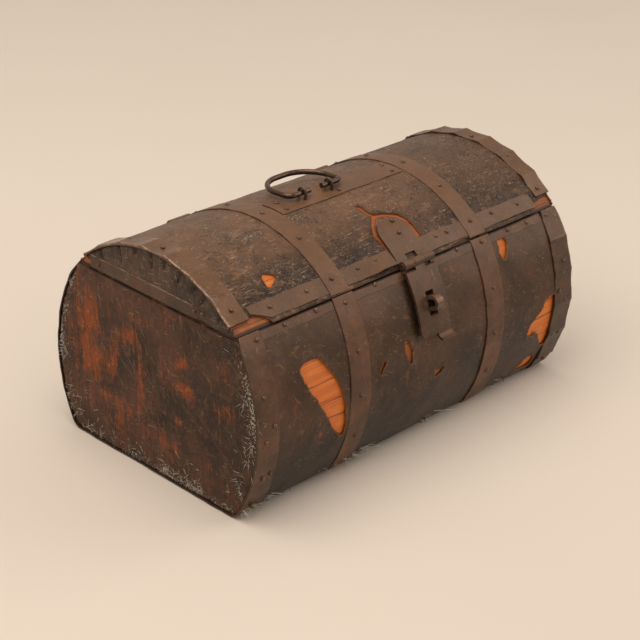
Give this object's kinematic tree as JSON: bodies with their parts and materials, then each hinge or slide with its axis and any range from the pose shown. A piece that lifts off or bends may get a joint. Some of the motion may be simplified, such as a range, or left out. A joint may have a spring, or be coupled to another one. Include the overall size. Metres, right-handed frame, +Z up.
{
  "type": "domed storage box",
  "caption": "Small domed storage casket of pine boards under dark hide, bound with iron straps; the lid opens on strap hinges, with a hasp, staple and carrying bail.",
  "frame": {"origin": "middle of the underside, on the floor that the casket stands on", "axes": "+X along the casket to the right end, +Y to the back where the hinges are, +Z up"},
  "size_m": [0.5044, 0.3129, 0.264],
  "materials": {
    "pine_board": "bare, oiled by age",
    "wrap_hide": "worn, half gloss",
    "end_hide": "worn, half gloss",
    "strap_iron": "rust brown, waxed",
    "fitting_iron": "dark, rubbed"
  },
  "bodies": {
    "case": {"back_stave_1": "pine_board", "back_stave_2": "pine_board", "back_stave_3": "pine_board", "back_stave_4": "pine_board", "bottom_board": "pine_board", "case_hide": "wrap_hide", "front_stave_1": "pine_board", "front_stave_2": "pine_board", "front_stave_3": "pine_board", "front_stave_4": "pine_board", "left_case_band": "strap_iron", "left_case_rim_strip": "strap_iron", "left_case_strap": "strap_iron", "left_end_board": "pine_board", "left_end_hide": "end_hide", "left_hinge_pin": "fitting_iron", "middle_case_rim_strip": "strap_iron", "padlock_staple": "fitting_iron", "right_case_band": "strap_iron", "right_case_rim_strip": "strap_iron", "right_case_strap": "strap_iron", "right_end_board": "pine_board", "right_end_hide": "end_hide", "right_hinge_pin": "fitting_iron"},
    "lid": {"hasp_leaf": "fitting_iron", "hasp_pin": "fitting_iron", "left_handle_eye": "fitting_iron", "left_lid_band": "strap_iron", "left_lid_end_board": "pine_board", "left_lid_end_hide": "end_hide", "left_lid_end_strip": "strap_iron", "left_lid_strap": "strap_iron", "lid_hide": "wrap_hide", "lid_rim_strip_1": "strap_iron", "lid_rim_strip_2": "strap_iron", "lid_rim_strip_3": "strap_iron", "lid_rim_strip_4": "strap_iron", "lid_stave_1": "pine_board", "lid_stave_2": "pine_board", "lid_stave_3": "pine_board", "lid_stave_4": "pine_board", "lid_stave_5": "pine_board", "lid_stave_6": "pine_board", "ridge_strap": "strap_iron", "right_handle_eye": "fitting_iron", "right_lid_band": "strap_iron", "right_lid_end_board": "pine_board", "right_lid_end_hide": "end_hide", "right_lid_end_strip": "strap_iron", "right_lid_strap": "strap_iron"},
    "hasp": {"hasp": "fitting_iron"},
    "bail": {"bail": "fitting_iron"}
  },
  "joints": [
    {"name": "lid_hinge", "type": "hinge", "parent": "case", "child": "lid", "pos_m": [0, 0.12343, 0.1992], "axis": [-1, 0, 0], "range_deg": [0, 150]},
    {"name": "hasp_hinge", "type": "hinge", "parent": "lid", "child": "hasp", "pos_m": [0.009, -0.11835, 0.2047], "axis": [-1, 0, 0], "range_deg": [0, 165]},
    {"name": "bail_swing", "type": "hinge", "parent": "lid", "child": "bail", "pos_m": [-0.024, 0, 0.2573], "axis": [1, 0, 0], "range_deg": [-6, 194]}
  ]
}
